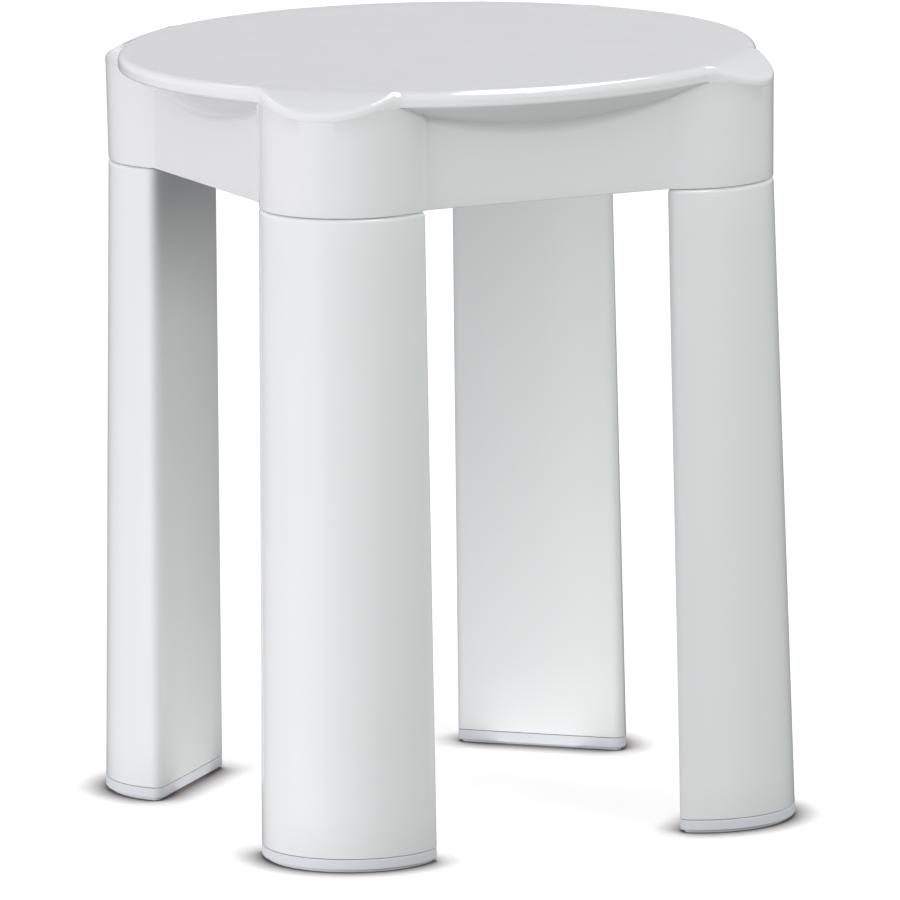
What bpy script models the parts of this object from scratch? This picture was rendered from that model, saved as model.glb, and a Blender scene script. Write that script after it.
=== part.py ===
"""A round white shower stool: one moulded seat on four hollow half-round legs with soft feet.

Metres, +Z up, with the origin on the floor under the middle of the seat. The legs stand on
the diagonals, so the seat's four flat skirt panels face +X, +Y, -X and -Y.
"""

import math

import bmesh
import bpy
from mathutils import Matrix, Vector

MM = 0.001
GAP = 0.3 * MM  # clearance between pieces that touch

# Seat: a disc with a rounded rim, a skirt of four flat panels and a lobe over each leg
HEIGHT = 410 * MM
SEAT_R = 170 * MM
RIM_ROUND = 5 * MM
LIP_DEPTH = 8.4 * MM  # from the seat's top to the lower edge of its rim
COVE_SLOPE = 0.49  # fall of the lip's underside towards the skirt
COVE_ROUND = 5 * MM  # how far the soft corner between cove and panel reaches
SKIRT_DEPTH = 65 * MM  # from the seat's top to its lower rim
PANEL_AT = 135.3 * MM  # from the middle to the face of a skirt panel
WALL = 3.2 * MM
PLATE = 3.8 * MM  # thickness of the seat's top
DRAFT = math.tan(math.radians(0.7))  # the skirt widens this much towards the top
LOBE_SLOPE = 0.62  # fall of a lobe's top
LOBE_BEFORE = 0.5 * MM  # how far inside the rim that fall sets out
LOBE_START = 4 * MM  # how far past the rim a lobe takes over from the rim's rounding
LOBE_ROUND = 2 * MM  # rounding of a lobe's outer edge
TOP_STEPS = 4  # faces across the bend from the top to the rim
LEAST_COVE = 0.6 * MM  # the cove keeps this much where lobe and rim meet
LEAST_SOFT = 0.25 * MM
HOLLOW_R = 160 * MM  # the hollow above the cove
HOLLOW_EDGE = 4 * MM  # slope between the hollow's side and its ceiling
CEILING_FALL = 1.15  # the ceiling inside a lobe falls this much for each unit of the edge's fall
CEILING_BEND_R = 150 * MM
CEILING_BEND = 0.28  # share of the ceiling's fall that it has at the bend
CEILING_LEVEL_R = 144 * MM
EIGHTH_STEPS = (5, 3, 4)  # faces round the lobe, from it to the panel, and along half a panel

# Ribs under the seat
RIB = 2.4 * MM
RIB_DEPTH = 7 * MM
RIB_RINGS = (58 * MM, 104 * MM)
RIB_REACH = 154 * MM  # towards a panel
RIB_REACH_LEG = 145 * MM  # towards a leg socket
RING_SIDES = 48

# Leg: a half-round tube that widens and leans out towards the floor, with a plug on top
FOOT_BAND = 7 * MM
LEG_WALL = 3.2 * MM
SHOULDER = 3.6 * MM  # width of the ledge that the seat's rim stands on
EDGE_ROUND = 2.5 * MM
CORNER = 5 * MM  # rounding between the round side and the flat inner face
LEAST_CORNER = 1.5 * MM
ARC_STEPS, CORNER_STEPS = 22, 3
PLUG_TOP = 380 * MM
PLUG_PLATE = 3.5 * MM
PLUG_WALL = 3 * MM
PLUG_CHAMFER = 1.5 * MM
PLUG_ROOT = (8 * MM, 14 * MM)  # below the seat's rim, inside: the plug's bore widens to the leg's
LEG_AZIMUTHS = {"front_left": 225, "front_right": 315, "rear_right": 45, "rear_left": 135}

# Foot: a cap with a plug that is pushed up into the leg, on a tread that is set back under it
TREAD = 0.8 * MM
TREAD_BACK = 1.5 * MM
FOOT_PLUG = 12 * MM
FOOT_PLUG_WALL = 3 * MM
FOOT_SOLE = 3.5 * MM
FOOT_ROUND = 0.6 * MM

# Screws, two to a leg, driven upwards from inside it
SCREW_AT = 158 * MM  # from the middle, along the leg's direction
SCREW_APART = 40 * MM
SHANK_R = 2.4 * MM
SCREW_LENGTH = 22 * MM
POINT = 4 * MM
HEAD_R = 4.75 * MM
HEAD_DEPTH = 3 * MM
HEAD_SIDE = 0.55  # share of the head's depth that is straight
HEAD_FLAT = 0.65  # its flat end, as a share of its radius
RECESS = (5.2 * MM, 1.2 * MM, 1.6 * MM)  # cross recess: length, width and depth
WASHER_R = 7.5 * MM
WASHER_THICK = 1.2 * MM
HOLE_R = 3 * MM
BOSS_R = 6 * MM
BOSS_HOLE_R = 2.8 * MM
BOSS_HOLE_DEPTH = 20 * MM
BOSS_INTO_PLATE = 3.7 * MM  # the boss ends this far below the seat's top
ROUND_SIDES = 16

SEAT_RIM = HEIGHT - SKIRT_DEPTH  # height of the seat's lower rim
LEG_TOP = SEAT_RIM - GAP

# The leg's section at the seat and at the floor, measured along the leg's direction:
# radius and centre of the round side, and where the flat inner face is
SECTION_TOP = (46.7 * MM, 138.8 * MM, 143.2 * MM)
SECTION_FLOOR = (48.8 * MM, 145.2 * MM, 147.0 * MM)

# Colours, linear
WHITE = (0.80, 0.81, 0.81)
LEG_WHITE = (0.79, 0.80, 0.80)
RUBBER_GREY = (0.56, 0.60, 0.63)
STEEL = (0.62, 0.62, 0.60)


# ---------------------------------------------------------------- helpers


def collection(name):
    made = bpy.data.collections.new(name)
    bpy.context.scene.collection.children.link(made)
    return made


def material(name, colour, roughness, metallic=0.0):
    made = bpy.data.materials.new(name)
    made.use_nodes = True
    shader = made.node_tree.nodes["Principled BSDF"]
    shader.inputs["Base Color"].default_value = (*colour, 1)
    shader.inputs["Roughness"].default_value = roughness
    shader.inputs["Metallic"].default_value = metallic
    return made


def new_object(name, mesh, into):
    made = bpy.data.objects.new(name, mesh)
    into.objects.link(made)
    return made


def helper(name, mesh, into):
    """An object that only cuts or adds to a part."""
    made = new_object(name, mesh, into)
    made.hide_render = True
    made.display_type = "WIRE"
    return made


def mesh_from(name, build):
    """A mesh that build(bm) fills, with its faces turned outwards."""
    mesh = bpy.data.meshes.new(name)
    bm = bmesh.new()
    build(bm)
    bmesh.ops.recalc_face_normals(bm, faces=bm.faces)
    bm.to_mesh(mesh)
    bm.free()
    return mesh


def smooth(mesh, angle=35):
    mesh.shade_smooth()
    mesh.set_sharp_from_angle(angle=math.radians(angle))


def loft(name, rings):
    """A closed body through rings of equal count, with a flat cap on the first and the last."""

    def build(bm):
        rows = [[bm.verts.new(point) for point in ring] for ring in rings]
        bm.faces.new(rows[0])
        bm.faces.new(rows[-1])
        for upper, lower in zip(rows, rows[1:]):
            for i in range(len(upper)):
                j = (i + 1) % len(upper)
                bm.faces.new((upper[i], upper[j], lower[j], lower[i]))

    return mesh_from(name, build)


def box(name, size, middle, azimuth=0):
    """A box whose length lies along the azimuth, in degrees."""

    def build(bm):
        place = Matrix.Rotation(math.radians(azimuth), 4, "Z") @ Matrix.Translation(middle)
        bmesh.ops.create_cube(bm, size=1, matrix=place @ Matrix.Diagonal((*size, 1)))

    return mesh_from(name, build)


def cylinder(name, radius, bottom, top, at=(0, 0)):
    def build(bm):
        bmesh.ops.create_cone(
            bm,
            cap_ends=True,
            segments=ROUND_SIDES,
            radius1=radius,
            radius2=radius,
            depth=top - bottom,
            matrix=Matrix.Translation((*at, (top + bottom) / 2)),
        )

    return mesh_from(name, build)


def turned(name, profile, steps, into, closed=False):
    """A helper turned about Z from (radius, height) points that run down its outer side."""
    mesh = bpy.data.meshes.new(name)
    points = [(radius, 0, z) for radius, z in profile]
    edges = [(i, i + 1) for i in range(len(points) - 1)]
    if closed:
        edges.append((len(points) - 1, 0))
    mesh.from_pydata(points, edges, [])
    made = helper(name, mesh, into)
    turn = made.modifiers.new("Turn", "SCREW")
    turn.steps = turn.render_steps = steps
    turn.use_merge_vertices = True
    turn.merge_threshold = 0.01 * MM
    return made


def finished(made):
    """The mesh that the object's modifiers give."""
    graph = bpy.context.evaluated_depsgraph_get()
    return bpy.data.meshes.new_from_object(made.evaluated_get(graph))


def boolean(target, operation, operand):
    """Adds or cuts one object, or every object of a collection."""
    made = target.modifiers.new(operand.name, "BOOLEAN")
    made.operation = operation
    made.solver = "EXACT"
    if isinstance(operand, bpy.types.Collection):
        made.operand_type = "COLLECTION"
        made.collection = operand
    else:
        made.object = operand


def smooth_step(share):
    share = min(max(share, 0), 1)
    return share * share * (3 - 2 * share)


def between(start, end, share):
    return tuple(a + (b - a) * share for a, b in zip(start, end))


def screw_place(azimuth, side):
    """Where a screw of the leg at this azimuth stands, seen from above."""
    place = Vector((SCREW_AT, side * SCREW_APART / 2, 0))
    place.rotate(Matrix.Rotation(math.radians(azimuth), 3, "Z"))
    return place


# ---------------------------------------------------------------- seat


def lobe_corner_angle(inset=0):
    """Angle from the leg's direction to the corner where the lobe meets a panel."""
    radius, centre, _ = SECTION_TOP
    panel = PANEL_AT - inset
    to_panel = panel - centre * math.sqrt(0.5)
    along = centre * math.sqrt(0.5) - math.sqrt((radius - inset) ** 2 - to_panel**2)
    return math.pi / 4 - math.atan2(along, panel)


def lip_end_angle():
    """Angle from the leg's direction to where the lobe's side comes out past the rim."""
    radius, centre, _ = SECTION_TOP
    reach = SEAT_R - DRAFT * SKIRT_DEPTH
    return math.acos((reach**2 + centre**2 - radius**2) / (2 * reach * centre))


def skirt_radius(angle, inset=0):
    """Distance from the middle to the skirt's lower edge, at an angle from the leg's direction."""
    angle = abs(angle)
    if angle > lobe_corner_angle(inset):
        return (PANEL_AT - inset) / math.cos(math.pi / 4 - angle)
    radius, centre, _ = SECTION_TOP
    across = (radius - inset) ** 2 - (centre * math.sin(angle)) ** 2
    return centre * math.cos(angle) + math.sqrt(across)


def seat_profile(angle):
    """(radius, depth below the top) down the outside, under the rim and up the inside."""
    skirt = skirt_radius(angle)
    skirt_top = skirt + DRAFT * SKIRT_DEPTH
    rim = max(SEAT_R, skirt_top)
    lobe = smooth_step((rim - SEAT_R) / LOBE_START)
    bend = SEAT_R - LOBE_BEFORE * lobe
    edge = RIM_ROUND + (LOBE_SLOPE * (rim - bend) - RIM_ROUND) * lobe
    fall = max(edge - RIM_ROUND, 0)

    # the level top bends and comes down: steeply at the rim, as a cone over a lobe
    level = SEAT_R - RIM_ROUND
    soft = LOBE_ROUND * lobe
    end = (rim - soft, edge - LOBE_SLOPE * soft)
    points = []
    for step in range(TOP_STEPS + 1):
        share = step / TOP_STEPS
        first = between((level, 0), (bend, 0), share)
        second = between((bend, 0), end, share)
        points.append(between(first, second, share))
    points.append((rim, edge + LOBE_ROUND))

    # the lip's lower edge, the cove under it and its soft corner with the skirt
    cove = rim - skirt_top
    lip = LIP_DEPTH + fall
    corner = lip + max(COVE_SLOPE * cove, LEAST_COVE)
    soft = max(COVE_ROUND * cove / (SEAT_R - PANEL_AT), LEAST_SOFT)
    points.append((rim, lip))
    points.append((skirt_top + min(soft, cove), corner - COVE_SLOPE * soft))
    points.append((skirt + DRAFT * (SKIRT_DEPTH - corner - soft), corner + soft))
    points.append((skirt, SKIRT_DEPTH))

    # the inside, one wall away
    inner = skirt_radius(angle, WALL)
    hollow = max(HOLLOW_R, inner)
    ceiling = PLATE + CEILING_FALL * fall
    over_cove = LIP_DEPTH + COVE_SLOPE * (SEAT_R - hollow) - WALL * math.hypot(1, COVE_SLOPE)
    upper = ceiling + max(HOLLOW_EDGE, over_cove - PLATE)
    lower = upper + max(LEAST_COVE, COVE_SLOPE * (hollow - inner))
    points.append((inner, SKIRT_DEPTH))
    points.append((inner, lower))
    points.append((hollow, upper))
    points.append((hollow - HOLLOW_EDGE, ceiling))
    points.append(((CEILING_BEND_R + hollow) / 2, PLATE + CEILING_BEND * (ceiling - PLATE)))
    points.append((CEILING_LEVEL_R, PLATE))
    return points


def seat_angles():
    """Angles for one eighth of the seat, from a leg's direction to the middle of a panel."""
    stops = (0, lip_end_angle(), lobe_corner_angle(), math.pi / 4)
    angles = []
    for start, end, steps in zip(stops, stops[1:], EIGHTH_STEPS):
        angles += [start + (end - start) * step / steps for step in range(steps)]
    return [*angles, stops[-1]]


def seat_shell():
    eighth = seat_angles()
    quarter = [-a for a in reversed(eighth[1:-1])] + eighth
    columns = []
    for azimuth in sorted(LEG_AZIMUTHS.values()):
        for angle in quarter:
            turn = math.radians(azimuth) + angle
            along, across = math.cos(turn), math.sin(turn)
            profile = seat_profile(angle)
            columns.append([(r * along, r * across, HEIGHT - depth) for r, depth in profile])
    return loft("seat", list(zip(*columns)))


def seat_ribs(seat, helpers):
    """Two rings and four bars across, hanging from the underside of the plate."""
    top = HEIGHT - PLATE / 2
    bottom = HEIGHT - PLATE - RIB_DEPTH
    for number, radius in enumerate(RIB_RINGS):
        outer, inner = radius + RIB / 2, radius - RIB / 2
        profile = ((outer, top), (outer, bottom), (inner, bottom), (inner, top))
        ring = turned(f"rib_ring_{number}", profile, RING_SIDES, helpers, closed=True)
        boolean(seat, "UNION", ring)
    for azimuth in (0, 45, 90, 135):
        reach = RIB_REACH_LEG if azimuth % 90 else RIB_REACH
        size = (2 * reach, RIB, top - bottom)
        bar = box(f"rib_bar_{azimuth}", size, (0, 0, (top + bottom) / 2), azimuth)
        boolean(seat, "UNION", helper(bar.name, bar, helpers))


def boss_mesh(helpers):
    """A post with a blind screw hole in its lower end."""
    top, bottom = HEIGHT - BOSS_INTO_PLATE, PLUG_TOP + GAP
    profile = (
        (0, top),
        (BOSS_R, top),
        (BOSS_R, bottom),
        (BOSS_HOLE_R, bottom),
        (BOSS_HOLE_R, bottom + BOSS_HOLE_DEPTH),
        (0, bottom + BOSS_HOLE_DEPTH),
    )
    post = turned("boss_turned", profile, ROUND_SIDES, helpers)
    mesh = finished(post)
    bpy.data.objects.remove(post)
    return mesh


def seat_sockets(seat, helpers):
    """The wall that closes each lobe's pocket, with two screw bosses inside the pocket."""
    walls, bosses = collection("socket_walls"), collection("bosses")
    width = 2 * (SECTION_TOP[0] - WALL / 2)
    top = HEIGHT - PLATE / 2
    middle = (SECTION_TOP[2] + WALL / 2, 0, (top + SEAT_RIM) / 2)
    boss = boss_mesh(helpers)
    for azimuth in LEG_AZIMUTHS.values():
        wall = box(f"socket_wall_{azimuth}", (WALL, width, top - SEAT_RIM), middle, azimuth)
        helper(wall.name, wall, walls)
        for side in (-1, 1):
            post = helper(f"boss_{azimuth}_{side}", boss, bosses)
            post.location = screw_place(azimuth, side)
    boolean(seat, "UNION", walls)
    boolean(seat, "UNION", bosses)


def make_seat(parts, helpers, look):
    seat = new_object("seat", seat_shell(), parts)
    seat_ribs(seat, helpers)
    seat_sockets(seat, helpers)
    seat.data.materials.append(look)
    smooth(seat.data)


# ---------------------------------------------------------------- legs and feet


def leg_ring(z, inset):
    """The leg's outline at a height, moved inwards. It no longer changes above the seat's rim."""
    share = min(z, LEG_TOP) / LEG_TOP
    radius, centre, face = between(SECTION_FLOOR, SECTION_TOP, share)
    radius -= inset
    face += inset
    corner = max(CORNER - inset, LEAST_CORNER)
    middle = Vector((face + corner, 0))
    middle.y = math.sqrt((radius - corner) ** 2 - (middle.x - centre) ** 2)
    turn = math.atan2(middle.y, middle.x - centre)
    points = []
    for step in range(ARC_STEPS + 1):
        angle = turn * (2 * step / ARC_STEPS - 1)
        points.append((centre + radius * math.cos(angle), radius * math.sin(angle), z))
    for side in (1, -1):
        rounded = []
        for step in range(1, CORNER_STEPS + 1):
            angle = turn + (math.pi - turn) * step / CORNER_STEPS
            x = middle.x + corner * math.cos(angle)
            rounded.append((x, side * (middle.y + corner * math.sin(angle)), z))
        points += rounded[::side]
    return points


def leg_mesh(helpers):
    bottom = FOOT_BAND + GAP
    root_top, root_bottom = (LEG_TOP - depth for depth in PLUG_ROOT)
    plug_inset = SHOULDER + PLUG_WALL
    soft = EDGE_ROUND * (1 - math.sqrt(0.5))
    heights_and_insets = (
        (PLUG_TOP - PLUG_PLATE, plug_inset),
        (root_top, plug_inset),
        (root_bottom, LEG_WALL),
        (bottom, LEG_WALL),
        (bottom, 0),
        (LEG_TOP - EDGE_ROUND, 0),
        (LEG_TOP - soft, soft),
        (LEG_TOP, EDGE_ROUND),
        (LEG_TOP, SHOULDER),
        (PLUG_TOP - PLUG_CHAMFER, SHOULDER),
        (PLUG_TOP, SHOULDER + PLUG_CHAMFER),
    )
    shape = loft("leg", [leg_ring(z, inset) for z, inset in heights_and_insets])
    tube = helper("leg_tube", shape, helpers)
    low, high = PLUG_TOP - 2 * PLUG_PLATE, PLUG_TOP + PLUG_PLATE
    for side in (-1, 1):
        at = (SCREW_AT, side * SCREW_APART / 2)
        hole = cylinder(f"leg_hole_{side}", HOLE_R, low, high, at)
        boolean(tube, "DIFFERENCE", helper(hole.name, hole, helpers))
    mesh = finished(tube)
    bpy.data.objects.remove(tube)
    smooth(mesh)
    return mesh


def foot_mesh():
    plug_inset = LEG_WALL + GAP
    inside = plug_inset + FOOT_PLUG_WALL
    heights_and_insets = (
        (0, TREAD_BACK),
        (TREAD, TREAD_BACK),
        (TREAD, FOOT_ROUND),
        (TREAD + FOOT_ROUND, 0),
        (FOOT_BAND, 0),
        (FOOT_BAND, plug_inset),
        (FOOT_BAND + FOOT_PLUG - FOOT_ROUND, plug_inset),
        (FOOT_BAND + FOOT_PLUG, plug_inset + FOOT_ROUND),
        (FOOT_BAND + FOOT_PLUG, inside),
        (FOOT_SOLE, inside),
    )
    mesh = loft("foot", [leg_ring(z, inset) for z, inset in heights_and_insets])
    smooth(mesh)
    return mesh


# ---------------------------------------------------------------- screws and washers


def screw_mesh(helpers):
    """A pan-head screw with its point up and the head's upper face at z = 0."""
    profile = (
        (0, SCREW_LENGTH),
        (SHANK_R, SCREW_LENGTH - POINT),
        (SHANK_R, 0),
        (HEAD_R, 0),
        (HEAD_R, -HEAD_SIDE * HEAD_DEPTH),
        (HEAD_FLAT * HEAD_R, -HEAD_DEPTH),
        (0, -HEAD_DEPTH),
    )
    screw = turned("screw_turned", profile, ROUND_SIDES, helpers)
    length, width, depth = RECESS
    for azimuth in (0, 90):
        slot = box(f"recess_{azimuth}", (length, width, 2 * depth), (0, 0, -HEAD_DEPTH), azimuth)
        boolean(screw, "DIFFERENCE", helper(slot.name, slot, helpers))
    mesh = finished(screw)
    bpy.data.objects.remove(screw)
    smooth(mesh)
    return mesh


def washer_mesh(helpers):
    """A flat washer with its upper face at z = 0."""
    hole = SHANK_R + GAP
    profile = ((WASHER_R, 0), (WASHER_R, -WASHER_THICK), (hole, -WASHER_THICK), (hole, 0))
    washer = turned("washer_turned", profile, ROUND_SIDES, helpers, closed=True)
    mesh = finished(washer)
    bpy.data.objects.remove(washer)
    smooth(mesh)
    return mesh


# ---------------------------------------------------------------- the stool


def main():
    for old in list(bpy.data.objects):
        bpy.data.objects.remove(old)
    parts = collection("shower_stool")
    helpers = collection("helpers")

    make_seat(parts, helpers, material("seat_plastic", WHITE, 0.25))

    leg = leg_mesh(helpers)
    leg.materials.append(material("leg_plastic", LEG_WHITE, 0.3))
    foot = foot_mesh()
    foot.materials.append(material("foot_rubber", RUBBER_GREY, 0.8))
    screw = screw_mesh(helpers)
    washer = washer_mesh(helpers)
    for mesh in (screw, washer):
        mesh.materials.append(material(f"{mesh.name}_steel", STEEL, 0.35, 1.0))

    washer_top = PLUG_TOP - PLUG_PLATE - GAP
    head_top = washer_top - WASHER_THICK - GAP
    for corner, azimuth in LEG_AZIMUTHS.items():
        turn = math.radians(azimuth)
        for kind, mesh in (("leg", leg), ("foot", foot)):
            placed = new_object(f"{kind}_{corner}", mesh, parts)
            placed.rotation_euler.z = turn
        for number, side in ((1, -1), (2, 1)):
            at = screw_place(azimuth, side)
            for kind, mesh, z in (("leg_screw", screw, head_top), ("washer", washer, washer_top)):
                placed = new_object(f"{kind}_{corner}_{number}", mesh, parts)
                placed.location = (at.x, at.y, z)
                placed.rotation_euler.z = turn


main()
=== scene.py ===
"""The looks of a round white shower stool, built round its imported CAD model.

Metres, +Z up, with the origin on the floor under the middle of the seat. The seat, legs and feet
are moulded here again with their full roundings; the screws and washers are the CAD's own.
"""

import math

import bmesh
import bpy
from mathutils import Matrix, Vector


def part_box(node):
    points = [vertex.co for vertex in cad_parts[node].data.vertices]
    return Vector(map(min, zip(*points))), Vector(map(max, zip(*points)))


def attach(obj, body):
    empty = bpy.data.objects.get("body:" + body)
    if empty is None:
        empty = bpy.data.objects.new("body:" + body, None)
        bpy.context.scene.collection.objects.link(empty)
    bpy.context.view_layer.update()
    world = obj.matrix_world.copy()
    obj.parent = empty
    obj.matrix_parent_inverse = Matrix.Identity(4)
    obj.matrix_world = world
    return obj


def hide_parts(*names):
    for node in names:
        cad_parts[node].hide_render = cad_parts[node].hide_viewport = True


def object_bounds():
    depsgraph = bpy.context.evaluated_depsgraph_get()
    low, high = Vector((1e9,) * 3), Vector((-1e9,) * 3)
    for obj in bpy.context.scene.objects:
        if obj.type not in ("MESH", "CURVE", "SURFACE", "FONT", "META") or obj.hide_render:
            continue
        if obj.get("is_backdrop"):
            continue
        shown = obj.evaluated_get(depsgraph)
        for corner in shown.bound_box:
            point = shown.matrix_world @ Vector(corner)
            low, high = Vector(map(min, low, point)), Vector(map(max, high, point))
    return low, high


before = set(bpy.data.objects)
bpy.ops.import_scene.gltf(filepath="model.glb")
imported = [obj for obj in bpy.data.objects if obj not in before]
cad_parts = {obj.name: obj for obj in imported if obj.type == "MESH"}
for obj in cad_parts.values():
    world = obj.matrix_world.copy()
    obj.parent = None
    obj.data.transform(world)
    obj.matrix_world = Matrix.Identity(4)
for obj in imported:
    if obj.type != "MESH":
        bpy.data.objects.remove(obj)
cad_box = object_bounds()

MM = 0.001
CORNERS = {"front_left": 225, "front_right": 315, "rear_right": 45, "rear_left": 135}

# ---------------------------------------------------------------- sizes

JOINT_GAP = 0.3 * MM  # between pieces that meet, and over a leg's plug

seat_low, seat_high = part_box("seat")
leg_low, leg_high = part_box("leg_front_left")
foot_low, foot_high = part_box("foot_front_left")

# Seat: a disc with a rounded rim, a skirt of four flat panels and a lobe over each leg
SEAT_TOP = seat_high.z
SEAT_R = seat_high.x
SKIRT_DEPTH = seat_high.z - seat_low.z
DRAFT = math.tan(math.radians(0.7))  # the skirt widens this much towards the top
RIM_ROUND = 5 * MM
LIP_DEPTH = 8.4 * MM  # from the seat's top to the lower edge of its rim
LIP_NOSE = 0.9 * MM  # rounding of that lower edge
COVE_SLOPE = 0.49  # fall of the lip's underside towards the skirt
COVE_ROUND = 5 * MM  # how far the soft corner between cove and panel reaches
PANEL_AT = 135.3 * MM  # from the middle to the face of a skirt panel
PANEL_FILLET = 1.5 * MM  # hollow corner between panel and lobe
LOBE_SLOPE = 0.62  # fall of a lobe's top, from where the rim's rounding would end
LOBE_BEFORE = 0.5 * MM  # how far inside the rim that fall sets out
LOBE_START = 4 * MM  # how far past the rim a lobe takes over from the rim's rounding
LOBE_ROUND = 2 * MM
LOBE_BLEND = 1.2 * MM  # softens the corner where the lobe's side comes out past the rim
EDGE = 0.6 * MM  # rounding of the skirt's lower edges
WALL = 3.2 * MM
PLATE = 3.8 * MM
LEAST_COVE = 0.6 * MM
LEAST_SOFT = 0.25 * MM
NOSE_GROWTH = 4  # the nose is whole where the lip has a quarter of its width
TOP_MIDDLE = 0.2  # share of the level top that is one face in the middle

# The hollow under the seat
HOLLOW_R = 160 * MM
HOLLOW_EDGE = 4 * MM
CEILING_FALL = 1.15
CEILING_BEND_R = 150 * MM
CEILING_BEND = 0.28
CEILING_LEVEL_R = 144 * MM
RIB = 2.4 * MM
RIB_DEPTH = 7 * MM
RIB_RINGS = (58 * MM, 104 * MM)
RIB_REACH = {0: 154 * MM, 45: 145 * MM, 90: 154 * MM, 135: 145 * MM}
RING_SIDES = 128

# Leg: radius, centre and inner face of its half-round section, at the seat and at the floor
SECTION_TOP = (46.7 * MM, 138.8 * MM, 143.2 * MM)
SECTION_FLOOR = (48.8 * MM, 145.2 * MM, 147.0 * MM)
LEG_BOTTOM = leg_low.z
LEG_TOP = seat_low.z - JOINT_GAP
PLUG_TOP = leg_high.z
LEG_WALL = 3.2 * MM
LEG_EDGE = 0.4 * MM  # rounding of its lower edge
SHOULDER = 3.6 * MM
SHOULDER_ROUND = 2.5 * MM
CORNER = 5 * MM
LEAST_CORNER = 1.5 * MM
PLUG_PLATE = 3.5 * MM
PLUG_WALL = 3 * MM
PLUG_CHAMFER = 1.5 * MM
PLUG_ROOT = (8 * MM, 14 * MM)
ARC_STEPS = 56
CORNER_STEPS = 9
FACE_STEPS = 6

# Foot: a band as wide as the leg, on a tread that is set back under it
BAND_TOP = leg_low.z - JOINT_GAP
BAND_ROUND = 0.6 * MM
FOOT_EDGE = 0.3 * MM  # rounding of its other edges
# The CAD's tread is 0.8 mm high and set back 1.5 mm; this one is deeper, for a dark line under it
TREAD = 1.5 * MM
TREAD_BACK = 2.5 * MM
GROOVE_AT = (5 * MM, 9.5 * MM, 14 * MM)  # grooves in the tread, inwards from its edge
GROOVE_WIDE = 1.4 * MM
FOOT_PLUG_TOP = foot_high.z
FOOT_PLUG_BACK = 3.5 * MM
FOOT_PLUG_WALL = 3 * MM
FOOT_SOLE = 3.5 * MM

# Screws, two to a leg
HOLE_R = 3 * MM
BOSS_R = 6 * MM
BOSS_HOLE_R = 2.8 * MM
BOSS_HOLE_DEPTH = 20 * MM
BOSS_INTO_PLATE = 3.7 * MM
CUT_PAST = 1 * MM  # how far a cutter starts outside what it cuts

LEAST_GAP = 0.002 * MM  # points of a piece that lie nearer than this are one point

ROUND_PULL = 0.5523  # Bezier handles that make a quarter circle
SOFT_PULL = 0.6667  # and a flatter, softer turn


# ---------------------------------------------------------------- materials


def linear(code):
    """An sRGB hex colour as linear RGBA."""
    values = [int(code[i : i + 2], 16) / 255 for i in (1, 3, 5)]
    return (*[v / 12.92 if v <= 0.04045 else ((v + 0.055) / 1.055) ** 2.4 for v in values], 1)


def add(tree, kind, settings=None, **links):
    """A node with its properties or input values set, and its inputs linked from other sockets."""
    made = tree.nodes.new(kind)
    for name, value in (settings or {}).items():
        sockets = [s for s in made.inputs if s.enabled and s.name == name]
        if sockets:
            sockets[0].default_value = value
        else:
            setattr(made, name, value)
    for name, source in links.items():
        sockets = [s for s in made.inputs if s.enabled and s.name == name.replace("_", " ")]
        tree.links.new(source, sockets[0])
    return made


def surface(name, roughness, **settings):
    """A new material with its Principled shader, and where it is on the object in metres."""
    made = bpy.data.materials.new(name)
    made.use_nodes = True
    tree = made.node_tree
    shader = tree.nodes["Principled BSDF"]
    shader.inputs["Roughness"].default_value = roughness
    for socket, value in settings.items():
        shader.inputs[socket.replace("_", " ")].default_value = value
    place = add(tree, "ShaderNodeTexCoord").outputs["Object"]
    return made, tree, shader, place


def spread(tree, value, low, high):
    """Stretches a noise's middle values to run from low to high."""
    made = add(
        tree,
        "ShaderNodeMapRange",
        {"From Min": 0.3, "From Max": 0.7, "To Min": low, "To Max": high},
        Value=value,
    )
    return made.outputs["Result"]


def clouded(tree, place, size, tone, other):
    """A colour that drifts between two tones in clouds of a size."""
    cloud = add(tree, "ShaderNodeTexNoise", {"Scale": 1 / size, "Detail": 2.0}, Vector=place)
    made = add(
        tree,
        "ShaderNodeMix",
        {"data_type": "RGBA", "A": linear(tone), "B": linear(other)},
        Factor=spread(tree, cloud.outputs["Fac"], 0, 1),
    )
    return next(s for s in made.outputs if s.enabled)


def moulded_polypropylene(name, tone, thin_tone, roughness):
    """White polypropylene, injection moulded in a polished tool: a soft gloss whose reflections
    waver a little where the plastic shrank as it cooled, over a very fine skin."""
    made, tree, shader, place = surface(name, roughness, IOR=1.49)

    # tone: the pigment clouds by less than the eye can place, over 60 mm
    tree.links.new(clouded(tree, place, 60 * MM, tone, thin_tone), shader.inputs["Base Color"])

    # gloss: handling dulls it in faint patches of 25 mm
    rubbed = add(tree, "ShaderNodeTexNoise", {"Scale": 1 / (25 * MM), "Detail": 3.0}, Vector=place)
    tree.links.new(
        spread(tree, rubbed.outputs["Fac"], roughness - 0.02, roughness + 0.03),
        shader.inputs["Roughness"],
    )

    # relief: shrink waves 45 mm long under a 0.5 mm skin, drawn coarser than its real 0.1 mm
    waves = add(tree, "ShaderNodeTexNoise", {"Scale": 1 / (45 * MM), "Detail": 1.0}, Vector=place)
    skin = add(tree, "ShaderNodeTexNoise", {"Scale": 1 / (0.5 * MM), "Detail": 2.0}, Vector=place)
    sunk = add(
        tree,
        "ShaderNodeBump",
        {"Strength": 1.0, "Distance": 0.03 * MM},
        Height=waves.outputs["Fac"],
    )
    grained = add(
        tree,
        "ShaderNodeBump",
        {"Strength": 0.35, "Distance": 0.004 * MM},
        Height=skin.outputs["Fac"],
        Normal=sunk.outputs["Normal"],
    )
    tree.links.new(grained.outputs["Normal"], shader.inputs["Normal"])
    return made


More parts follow.
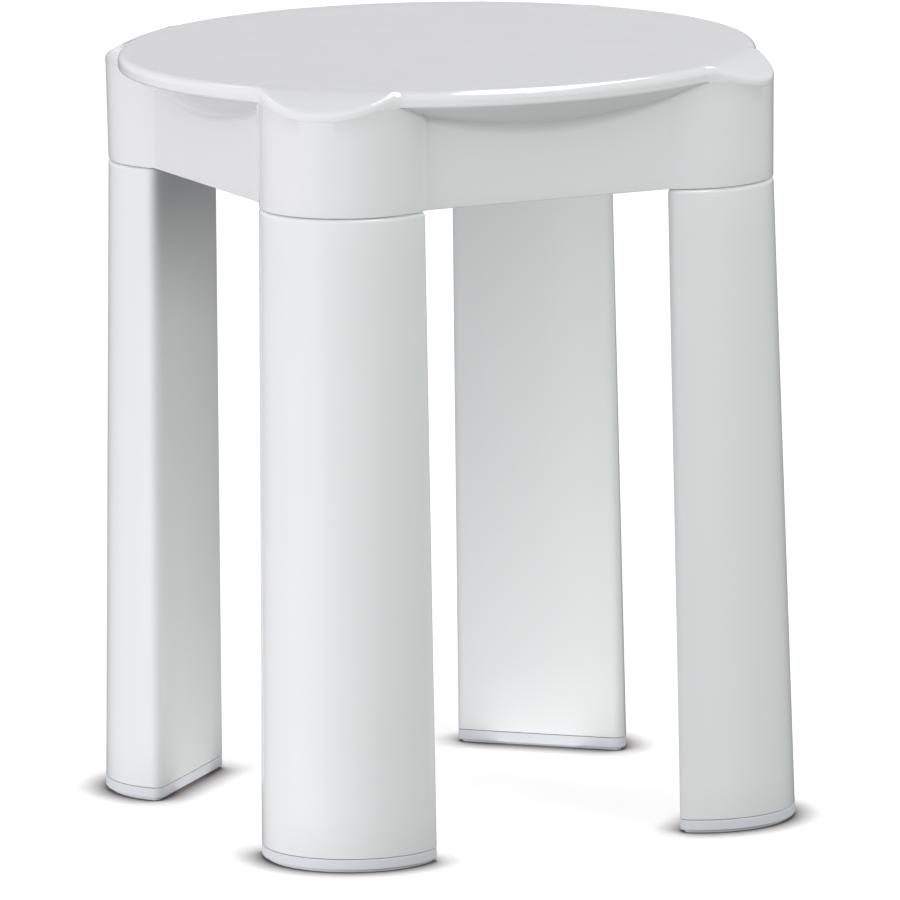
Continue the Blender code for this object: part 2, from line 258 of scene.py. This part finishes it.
def moulded_rubber():
    """Thermoplastic rubber, moulded in a spark-eroded tool: pale blue-grey, matt, finely grained."""
    made, tree, shader, place = surface("tpe_foot_rubber", 0.55, IOR=1.5)
    tone = clouded(tree, place, 18 * MM, "#D6D8DC", "#D2D4D9")
    tree.links.new(tone, shader.inputs["Base Color"])

    # the tool's sparks leave pits 0.3 mm apart, drawn twice as coarse so that they show
    pits = add(tree, "ShaderNodeTexNoise", {"Scale": 1 / (0.6 * MM), "Detail": 3.0}, Vector=place)
    grained = add(
        tree,
        "ShaderNodeBump",
        {"Strength": 0.6, "Distance": 0.03 * MM},
        Height=pits.outputs["Fac"],
    )
    tree.links.new(grained.outputs["Normal"], shader.inputs["Normal"])
    return made


def turned_steel(name, roughness):
    """Stainless steel, cold formed and tumbled: grey metal with small dull patches."""
    made, tree, shader, place = surface(name, roughness, Metallic=1.0)
    shader.inputs["Base Color"].default_value = linear("#B9B7B2")
    patches = add(tree, "ShaderNodeTexNoise", {"Scale": 1 / (1.5 * MM), "Detail": 4.0}, Vector=place)
    tree.links.new(
        spread(tree, patches.outputs["Fac"], roughness - 0.06, roughness + 0.1),
        shader.inputs["Roughness"],
    )
    return made


# ---------------------------------------------------------------- mesh helpers


def between(start, end, share):
    return tuple(a + (b - a) * share for a, b in zip(start, end))


def straight(start, end, steps):
    """Points from start up to, but not at, end."""
    return [between(start, end, step / steps) for step in range(steps)]


def rounded(start, corner, end, steps, pull=ROUND_PULL):
    """Points from start to end round a corner, both ends among them."""
    first = between(start, corner, pull)
    second = between(end, corner, pull)
    points = []
    for step in range(steps + 1):
        share = step / steps
        a, b, c = (
            between(p, q, share) for p, q in ((start, first), (first, second), (second, end))
        )
        points.append(between(between(a, b, share), between(b, c, share), share))
    return points


def smooth_step(share):
    share = min(max(share, 0), 1)
    return share * share * (3 - 2 * share)


def soft_greater(a, b, reach):
    """The greater of two lengths, with the corner between them rounded over a reach."""
    share = min(max(0.5 + 0.5 * (a - b) / reach, 0), 1)
    return b + (a - b) * share + reach * share * (1 - share)


def finish_mesh(bm, name):
    bmesh.ops.remove_doubles(bm, verts=bm.verts, dist=LEAST_GAP)
    bmesh.ops.dissolve_degenerate(bm, edges=bm.edges, dist=LEAST_GAP)
    bmesh.ops.recalc_face_normals(bm, faces=bm.faces)
    mesh = bpy.data.meshes.new(name)
    bm.to_mesh(mesh)
    bm.free()
    return mesh


def loft(name, rings):
    """Skins rings of equal count, and closes the first and the last."""
    bm = bmesh.new()
    rows = [[bm.verts.new(point) for point in ring] for ring in rings]
    for upper, lower in zip(rows, rows[1:]):
        for i in range(len(upper)):
            j = (i + 1) % len(upper)
            bm.faces.new((upper[i], upper[j], lower[j], lower[i]))
    for row in (rows[0], rows[-1]):
        bm.faces.new(row)
    return finish_mesh(bm, name)


def turned(name, profile, sides):
    """A closed ring turned about Z from (radius, height) points."""
    bm = bmesh.new()
    rows = []
    for side in range(sides):
        turn = math.tau * side / sides
        across, along = math.cos(turn), math.sin(turn)
        rows.append([bm.verts.new((r * across, r * along, z)) for r, z in profile])
    for side in range(sides):
        this, other = rows[side], rows[(side + 1) % sides]
        for i in range(len(profile)):
            j = (i + 1) % len(profile)
            corners = dict.fromkeys((this[i], this[j], other[j], other[i]))
            bm.faces.new(tuple(corners))
    return finish_mesh(bm, name)


def box(name, size, middle, azimuth=0):
    bm = bmesh.new()
    place = Matrix.Rotation(math.radians(azimuth), 4, "Z") @ Matrix.Translation(middle)
    bmesh.ops.create_cube(bm, size=1, matrix=place @ Matrix.Diagonal((*size, 1)))
    return finish_mesh(bm, name)


def post(name, radius, bottom, top, at, sides=32):
    bm = bmesh.new()
    place = Matrix.Translation((*at, (top + bottom) / 2))
    bmesh.ops.create_cone(
        bm,
        cap_ends=True,
        segments=sides,
        radius1=radius,
        radius2=radius,
        depth=top - bottom,
        matrix=place,
    )
    return finish_mesh(bm, name)


def combined(name, base, steps):
    """The mesh that base becomes when each (operation, mesh) is joined to it or cut from it."""
    whole = bpy.data.objects.new(name, base)
    bpy.context.scene.collection.objects.link(whole)
    others = []
    for operation, mesh in steps:
        other = bpy.data.objects.new(mesh.name, mesh)
        bpy.context.scene.collection.objects.link(other)
        others.append(other)
        change = whole.modifiers.new(mesh.name, "BOOLEAN")
        change.operation = operation
        change.solver = "EXACT"
        change.object = other
    graph = bpy.context.evaluated_depsgraph_get()
    result = bpy.data.meshes.new_from_object(whole.evaluated_get(graph))
    result.name = name
    for used in (whole, *others):
        bpy.data.objects.remove(used)
    return result


def shade(mesh, angle=32):
    mesh.shade_smooth()
    mesh.set_sharp_from_angle(angle=math.radians(angle))
    return mesh


def piece(name, mesh, material, stands_for, azimuth=0):
    """A copy of a mesh, turned into place on the stool, that stands for its CAD node."""
    mesh = mesh.copy()
    mesh.transform(Matrix.Rotation(math.radians(azimuth), 4, "Z"))
    mesh.materials.append(material)
    made = bpy.data.objects.new(name, mesh)
    bpy.context.scene.collection.objects.link(made)
    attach(made, "root")
    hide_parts(stands_for)
    return made


def screw_places():
    """Where each screw stands, from the CAD."""
    for corner in CORNERS:
        for number in (1, 2):
            low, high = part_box(f"leg_screw_{corner}_{number}")
            yield (low + high) / 2


# ---------------------------------------------------------------- seat


def hollow_corner(inset=0):
    """The rounding between a lobe's side and a panel, in the plane of the leg's direction:
    its centre, its radius, and the angles from the leg's direction at which it starts and ends."""
    radius, centre, _ = SECTION_TOP
    radius -= inset
    panel = PANEL_AT - inset
    fillet = PANEL_FILLET + inset
    outward = Vector((1, 1)) * math.sqrt(0.5)
    along = Vector((1, -1)) * math.sqrt(0.5)
    lobe = Vector((centre, 0))
    out = panel + fillet
    aside = out - lobe.dot(outward)
    back = math.sqrt((radius + fillet) ** 2 - aside**2)
    middle = outward * out + along * (lobe.dot(along) - back)
    on_panel = middle - outward * fillet
    on_lobe = lobe + (middle - lobe) * radius / (radius + fillet)
    return middle, fillet, math.atan2(on_lobe.y, on_lobe.x), math.atan2(on_panel.y, on_panel.x)


def skirt_radius(angle, inset=0):
    """Distance from the middle to the skirt's lower edge, at an angle from the leg's direction."""
    angle = abs(angle)
    middle, fillet, starts, ends = hollow_corner(inset)
    if angle >= ends:
        return (PANEL_AT - inset) / math.cos(math.pi / 4 - angle)
    if angle > starts:
        ahead = Vector((math.cos(angle), math.sin(angle))).dot(middle)
        return ahead - math.sqrt(max(ahead**2 - middle.length_squared + fillet**2, 0))
    radius, centre, _ = SECTION_TOP
    across = (radius - inset) ** 2 - (centre * math.sin(angle)) ** 2
    return centre * math.cos(angle) + math.sqrt(across)


def lip_end_angle():
    """Angle from the leg's direction to where the lobe's side comes out past the rim."""
    radius, centre, _ = SECTION_TOP
    reach = SEAT_R - DRAFT * SKIRT_DEPTH
    return math.acos((reach**2 + centre**2 - radius**2) / (2 * reach * centre))


def seat_profile(angle):
    """(radius, depth below the top) down the outside, under the rim and up the inside."""
    skirt = skirt_radius(angle)
    skirt_top = skirt + DRAFT * SKIRT_DEPTH
    rim = soft_greater(skirt_top, SEAT_R, LOBE_BLEND)
    lobe = smooth_step((rim - SEAT_R) / LOBE_START)
    bend = SEAT_R - LOBE_BEFORE * lobe
    edge = RIM_ROUND + (LOBE_SLOPE * (rim - bend) - RIM_ROUND) * lobe
    fall = max(edge - RIM_ROUND, 0)

    # the level top bends and comes down: steeply at the rim, as a cone over a lobe
    level = (SEAT_R - RIM_ROUND, 0)
    lobe_round = LOBE_ROUND * lobe
    slope_end = (rim - lobe_round, edge - LOBE_SLOPE * lobe_round)
    pull = ROUND_PULL + (SOFT_PULL - ROUND_PULL) * lobe
    points = straight((level[0] * TOP_MIDDLE, 0), level, 5)
    points += rounded(level, (bend, 0), slope_end, 14, pull)
    points += rounded(slope_end, (rim, edge), (rim, edge + LOBE_ROUND), 5)[1:]

    # the lip's nose, the cove under it and its soft corner with the skirt
    cove = max(rim - skirt_top, 0)
    share = cove / (SEAT_R - PANEL_AT)
    lip = LIP_DEPTH + fall
    corner = lip + max(COVE_SLOPE * cove, LEAST_COVE)
    soft = max(COVE_ROUND * share, LEAST_SOFT)
    nose = LIP_NOSE * min(NOSE_GROWTH * share, 1)
    cove_start = (rim - nose, lip + COVE_SLOPE * nose)
    cove_end = (skirt_top + min(soft, cove), corner - COVE_SLOPE * soft)
    if cove < soft:
        cove_start = (rim, lip)
    skirt_at = (skirt + DRAFT * (SKIRT_DEPTH - corner - soft), corner + soft)
    points += rounded((rim, lip - nose), (rim, lip), cove_start, 4)
    points += straight(cove_start, cove_end, 4)[1:]
    points += rounded(cove_end, (skirt_top, corner), skirt_at, 9)
    skirt_end = (skirt + DRAFT * EDGE, SKIRT_DEPTH - EDGE)
    points += straight(skirt_at, skirt_end, 5)[1:]
    points += rounded(skirt_end, (skirt, SKIRT_DEPTH), (skirt - EDGE, SKIRT_DEPTH), 4)

    # the inside, one wall away
    inner = skirt_radius(angle, WALL)
    hollow = max(HOLLOW_R, inner)
    ceiling = PLATE + CEILING_FALL * fall
    over_cove = LIP_DEPTH + COVE_SLOPE * (SEAT_R - hollow) - WALL * math.hypot(1, COVE_SLOPE)
    upper = ceiling + max(HOLLOW_EDGE, over_cove - PLATE)
    lower = upper + max(LEAST_COVE, COVE_SLOPE * (hollow - inner))
    inner_end = (inner, SKIRT_DEPTH - EDGE)
    points += rounded((inner + EDGE, SKIRT_DEPTH), (inner, SKIRT_DEPTH), inner_end, 3)
    points += straight(inner_end, (inner, lower), 5)[1:]
    points += straight((inner, lower), (hollow, upper), 3)
    points += [(hollow, upper), (hollow - HOLLOW_EDGE, ceiling)]
    points.append(((CEILING_BEND_R + hollow) / 2, PLATE + CEILING_BEND * (ceiling - PLATE)))
    points.append((CEILING_LEVEL_R, PLATE))
    return points


def seat_angles():
    """Angles for one eighth of the seat, from a leg's direction to the middle of a panel."""
    _, _, starts, ends = hollow_corner()
    stops = (0, lip_end_angle(), starts, ends, math.pi / 4)
    angles = []
    for start, end, steps in zip(stops, stops[1:], (16, 9, 6, 15)):
        angles += [start + (end - start) * step / steps for step in range(steps)]
    return [*angles, stops[-1]]


def seat_shell():
    eighth = seat_angles()
    quarter = [-angle for angle in reversed(eighth[1:-1])] + eighth
    columns = []
    for azimuth in sorted(CORNERS.values()):
        for angle in quarter:
            turn = math.radians(azimuth) + angle
            along, across = math.cos(turn), math.sin(turn)
            profile = seat_profile(angle)
            columns.append([(r * along, r * across, SEAT_TOP - depth) for r, depth in profile])
    return loft("seat_shell", list(zip(*columns)))


def seat_ribs():
    """Two rings and four bars across, under the plate."""
    top = SEAT_TOP - PLATE / 2
    bottom = SEAT_TOP - PLATE - RIB_DEPTH
    for radius in RIB_RINGS:
        outer, inner = radius + RIB / 2, radius - RIB / 2
        profile = ((outer, top), (outer, bottom), (inner, bottom), (inner, top))
        yield turned("rib_ring", profile, RING_SIDES)
    for azimuth, reach in RIB_REACH.items():
        yield box("rib_bar", (2 * reach, RIB, top - bottom), (0, 0, (top + bottom) / 2), azimuth)


def socket_walls():
    """The wall behind each leg's plug, from the plate down to the rim."""
    width = 2 * (SECTION_TOP[0] - WALL / 2)
    top, bottom = SEAT_TOP - PLATE / 2, SEAT_TOP - SKIRT_DEPTH
    middle = (SECTION_TOP[2] + WALL / 2, 0, (top + bottom) / 2)
    for azimuth in CORNERS.values():
        yield box("socket_wall", (WALL, width, top - bottom), middle, azimuth)


def screw_bosses():
    """A post over each leg screw, with a blind hole for it."""
    top, bottom = SEAT_TOP - BOSS_INTO_PLATE, PLUG_TOP + JOINT_GAP
    for at in screw_places():
        outside = post("boss", BOSS_R, bottom, top, at.xy)
        hole = post("boss_hole", BOSS_HOLE_R, bottom - CUT_PAST, bottom + BOSS_HOLE_DEPTH, at.xy)
        yield combined("boss", outside, [("DIFFERENCE", hole)])


def moulded_seat():
    additions = [*seat_ribs(), *socket_walls(), *screw_bosses()]
    return combined("seat_moulding", seat_shell(), [("UNION", mesh) for mesh in additions])


# ---------------------------------------------------------------- legs and feet


def leg_ring(z, inset):
    """The leg's outline at a height, moved inwards. It no longer changes above the seat's rim."""
    share = min(z, LEG_TOP) / LEG_TOP
    radius, centre, face = between(SECTION_FLOOR, SECTION_TOP, share)
    radius -= inset
    face += inset
    corner = max(CORNER - inset, LEAST_CORNER)
    middle = Vector((face + corner, 0))
    middle.y = math.sqrt((radius - corner) ** 2 - (middle.x - centre) ** 2)
    turn = math.atan2(middle.y, middle.x - centre)
    points = []
    for step in range(ARC_STEPS + 1):
        angle = turn * (2 * step / ARC_STEPS - 1)
        points.append((centre + radius * math.cos(angle), radius * math.sin(angle), z))
    near = []
    for step in range(1, CORNER_STEPS + 1):
        angle = turn + (math.pi - turn) * step / CORNER_STEPS
        near.append((middle.x + corner * math.cos(angle), middle.y + corner * math.sin(angle), z))
    far = [(x, -y, z) for x, y, z in reversed(near)]
    return points + near + straight(near[-1], far[0], FACE_STEPS)[1:] + far


def moulded_leg():
    root_top, root_bottom = (LEG_TOP - depth for depth in PLUG_ROOT)
    inside = SHOULDER + PLUG_WALL
    path = [(PLUG_TOP - PLUG_PLATE, inside), (root_top, inside)]
    path += straight((root_bottom, LEG_WALL), (LEG_BOTTOM, LEG_WALL), 10)
    path += [(LEG_BOTTOM, LEG_WALL)]
    path += rounded((LEG_BOTTOM, LEG_EDGE), (LEG_BOTTOM, 0), (LEG_BOTTOM + LEG_EDGE, 0), 3)
    path += straight((LEG_BOTTOM + LEG_EDGE, 0), (LEG_TOP - SHOULDER_ROUND, 0), 16)[1:]
    path += rounded((LEG_TOP - SHOULDER_ROUND, 0), (LEG_TOP, 0), (LEG_TOP, SHOULDER_ROUND), 8)
    path += [(LEG_TOP, SHOULDER), (PLUG_TOP - PLUG_CHAMFER, SHOULDER)]
    path += [(PLUG_TOP, SHOULDER + PLUG_CHAMFER)]
    tube = loft("leg_tube", [leg_ring(z, inset) for z, inset in path])
    screw = next(screw_places())
    at = Matrix.Rotation(-math.radians(CORNERS["front_left"]), 2) @ screw.xy
    bottom, top = PLUG_TOP - 3 * PLUG_PLATE, PLUG_TOP + PLUG_PLATE
    holes = []
    for side in (-1, 1):
        hole = post("leg_hole", HOLE_R, bottom, top, (at.x, side * at.y))
        holes.append(("DIFFERENCE", hole))
    return combined("leg_moulding", tube, holes)


def tread_path():
    """Across the underside of the foot, from its middle out: grooves that follow the outline."""
    path = []
    for groove in reversed(GROOVE_AT):
        far_side = groove + GROOVE_WIDE
        path += [(0, far_side), (TREAD, far_side), (TREAD, groove), (0, groove)]
    return path


def moulded_foot():
    path = tread_path()
    path += rounded((0, TREAD_BACK + FOOT_EDGE), (0, TREAD_BACK), (FOOT_EDGE, TREAD_BACK), 2)
    path += [(TREAD, TREAD_BACK)]
    path += rounded((TREAD, BAND_ROUND), (TREAD, 0), (TREAD + BAND_ROUND, 0), 5)
    path += straight((TREAD + BAND_ROUND, 0), (BAND_TOP - FOOT_EDGE, 0), 3)[1:]
    path += rounded((BAND_TOP - FOOT_EDGE, 0), (BAND_TOP, 0), (BAND_TOP, FOOT_EDGE), 4)
    path += [(BAND_TOP, FOOT_PLUG_BACK), (FOOT_PLUG_TOP - BAND_ROUND, FOOT_PLUG_BACK)]
    path += [(FOOT_PLUG_TOP, FOOT_PLUG_BACK + BAND_ROUND)]
    inside = FOOT_PLUG_BACK + FOOT_PLUG_WALL
    path += [(FOOT_PLUG_TOP, inside), (FOOT_SOLE, inside)]
    return loft("foot_moulding", [leg_ring(z, inset) for z, inset in path])


# ---------------------------------------------------------------- stool


def make_stool():
    seat_white = moulded_polypropylene("polypropylene_seat_polished", "#E9E9EA", "#E8E8E9", 0.12)
    leg_white = moulded_polypropylene("polypropylene_leg_polished", "#E8E9E9", "#E7E8E8", 0.16)
    rubber = moulded_rubber()
    piece("seat_moulding", shade(moulded_seat()), seat_white, "seat")
    leg = shade(moulded_leg())
    foot = shade(moulded_foot())
    for corner, azimuth in CORNERS.items():
        piece(f"leg_moulding_{corner}", leg, leg_white, f"leg_{corner}", azimuth)
        piece(f"foot_moulding_{corner}", foot, rubber, f"foot_{corner}", azimuth)
    steels = {
        "leg_screw": turned_steel("stainless_screw_tumbled", 0.34),
        "washer": turned_steel("stainless_washer_stamped", 0.4),
    }
    for name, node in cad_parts.items():
        for kind, steel in steels.items():
            if name.startswith(kind):
                node.data.materials.clear()
                node.data.materials.append(steel)


# ---------------------------------------------------------------- room

FLOOR_SIZE = 40  # from its middle to an edge
# the paper's darkening near a foot is a painted contact shadow
SHADOW_REACH = 20 * MM  # how far from a foot the paper darkens
PAPER_GLOW = 0.42
LIGHT_ABOVE = 0.75
LIGHT_BELOW = 0.12

CAMERA_AZIMUTH = -25
CAMERA_AWAY = 6.2728
CAMERA_HEIGHT = 1.3117
CAMERA_PAN = 0.035
CAMERA_DOWN = 10.13
CAMERA_ROLL = -0.855
LENS = 476.1
SENSOR = 36


def add_softbox(name, azimuth, elevation, distance, size, power, colour, seen_in_gloss=False):
    """A soft rectangular lamp that faces the stool from an azimuth and elevation in degrees.
    It either lights the stool or is only seen mirrored in its gloss."""
    lamp = bpy.data.lights.new(name, "AREA")
    lamp.energy = power
    lamp.color = linear(colour)[:3]
    lamp.shape = "RECTANGLE"
    lamp.size, lamp.size_y = size
    turn, rise = math.radians(azimuth), math.radians(elevation)
    aside = Vector((math.cos(turn), math.sin(turn), 0)) * math.cos(rise)
    away = aside + Vector((0, 0, math.sin(rise)))
    made = bpy.data.objects.new(name, lamp)
    made.location = away * distance + Vector((0, 0, SEAT_TOP / 2))
    made.rotation_euler = (-away).to_track_quat("-Z", "Y").to_euler()
    made.visible_camera = False
    made.visible_glossy = seen_in_gloss
    made.visible_diffuse = not seen_in_gloss
    bpy.context.scene.collection.objects.link(made)


def make_floor():
    """White paper that the camera sees; it throws no light back, so the world below it does."""
    bm = bmesh.new()
    bmesh.ops.create_grid(bm, x_segments=1, y_segments=1, size=FLOOR_SIZE)
    floor = bpy.data.objects.new("floor", finish_mesh(bm, "floor"))
    bpy.context.scene.collection.objects.link(floor)
    floor.visible_diffuse = False
    floor.visible_glossy = False
    floor.visible_shadow = False
    paper, tree, shader, _ = surface("studio_paper_matt", 0.9)
    shader.inputs["Specular IOR Level"].default_value = 0.1
    shader.inputs["Emission Color"].default_value = linear("#FFFFFF")

    # close beside a foot, where half of the sky or more is hidden, the paper is painted dark and has
    # no glow: a painted contact shadow round each foot
    close = add(tree, "ShaderNodeAmbientOcclusion", {"Distance": SHADOW_REACH, "samples": 16})
    sky = close.outputs["AO"]
    half = {"From Min": 0.5}
    open_sky = add(tree, "ShaderNodeMapRange", half, Value=sky).outputs["Result"]
    glow = add(tree, "ShaderNodeMapRange", {**half, "To Max": PAPER_GLOW}, Value=sky)
    # the dark tone is painted shadow, blending out to the paper's own white
    painted_shadow_tones = {"data_type": "RGBA", "A": linear("#837C79"), "B": linear("#F4F2F1")}
    tone = add(tree, "ShaderNodeMix", painted_shadow_tones, Factor=open_sky)
    tree.links.new(next(s for s in tone.outputs if s.enabled), shader.inputs["Base Color"])
    tree.links.new(glow.outputs["Result"], shader.inputs["Emission Strength"])

    # from below it is clear, so that the stool's underside shows
    below = add(tree, "ShaderNodeNewGeometry").outputs["Backfacing"]
    clear = add(tree, "ShaderNodeBsdfTransparent").outputs["BSDF"]
    sided = add(tree, "ShaderNodeMixShader", Fac=below)
    tree.links.new(shader.outputs["BSDF"], sided.inputs[1])
    tree.links.new(clear, sided.inputs[2])
    tree.links.new(sided.outputs["Shader"], tree.nodes["Material Output"].inputs["Surface"])
    floor.data.materials.append(paper)
    floor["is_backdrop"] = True


def make_light():
    """A pale room, darker below the horizon, and softboxes mostly on the left."""
    world = bpy.data.worlds.new("pale_studio")
    bpy.context.scene.world = world
    world.use_nodes = True
    tree = world.node_tree
    place = add(tree, "ShaderNodeTexCoord").outputs["Generated"]
    height = add(tree, "ShaderNodeSeparateXYZ", Vector=place).outputs["Z"]
    bands = {"From Min": -0.1, "From Max": 0.1, "To Min": LIGHT_BELOW, "To Max": LIGHT_ABOVE}
    strength = add(tree, "ShaderNodeMapRange", bands, Value=height).outputs["Result"]
    tree.links.new(strength, tree.nodes["Background"].inputs["Strength"])
    tree.nodes["Background"].inputs["Color"].default_value = linear("#FCFCFF")
    under = SEAT_TOP / 2 - MM
    add_softbox("softbox_left", 187, -7, 2.0, (1.8, 0.8), 27, "#FEFEFF")
    add_softbox("softbox_right", 294, 15, 2.0, (1.1, 0.5), 13, "#F8FFF8")
    add_softbox("glow_under_stool", 0, -90, under, (0.24, 0.24), 0.15, "#FFFFFF")
    add_softbox("mirrored_overhead", 335, 73.5, 1.9, (2.2, 0.85), 62, "#FFFFFF", True)
    add_softbox("mirrored_back_left", 135, 52, 1.9, (0.5, 0.35), 1.6, "#FFFFFF", True)


def make_camera():
    """A long lens, above the seat, turned 25 degrees to the left of the front."""
    pan, down, roll = (math.radians(angle) for angle in (CAMERA_PAN, CAMERA_DOWN, CAMERA_ROLL))
    ahead = Vector((math.sin(pan) * math.cos(down), math.cos(pan) * math.cos(down), -math.sin(down)))
    right = Vector((math.cos(pan), -math.sin(pan), 0))
    up = right.cross(ahead)
    rolled_right = right * math.cos(roll) + up * math.sin(roll)
    rolled_up = up * math.cos(roll) - right * math.sin(roll)
    axes = Matrix((rolled_right, rolled_up, -ahead)).transposed().to_4x4()
    camera = bpy.data.cameras.new("camera")
    camera.sensor_width = SENSOR
    camera.lens = LENS
    camera.clip_end = 200
    made = bpy.data.objects.new("camera", camera)
    turn = Matrix.Rotation(math.radians(CAMERA_AZIMUTH), 4, "Z")
    made.matrix_world = turn @ Matrix.Translation((0, -CAMERA_AWAY, CAMERA_HEIGHT)) @ axes
    bpy.context.scene.collection.objects.link(made)
    bpy.context.scene.camera = made


make_stool()
make_floor()
make_light()
make_camera()
bpy.context.scene.view_settings.view_transform = "Standard"

shown_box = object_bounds()
boxes = {"cad": cad_box, "visual": shown_box}
{name: [list(low), list(high)] for name, (low, high) in boxes.items()}
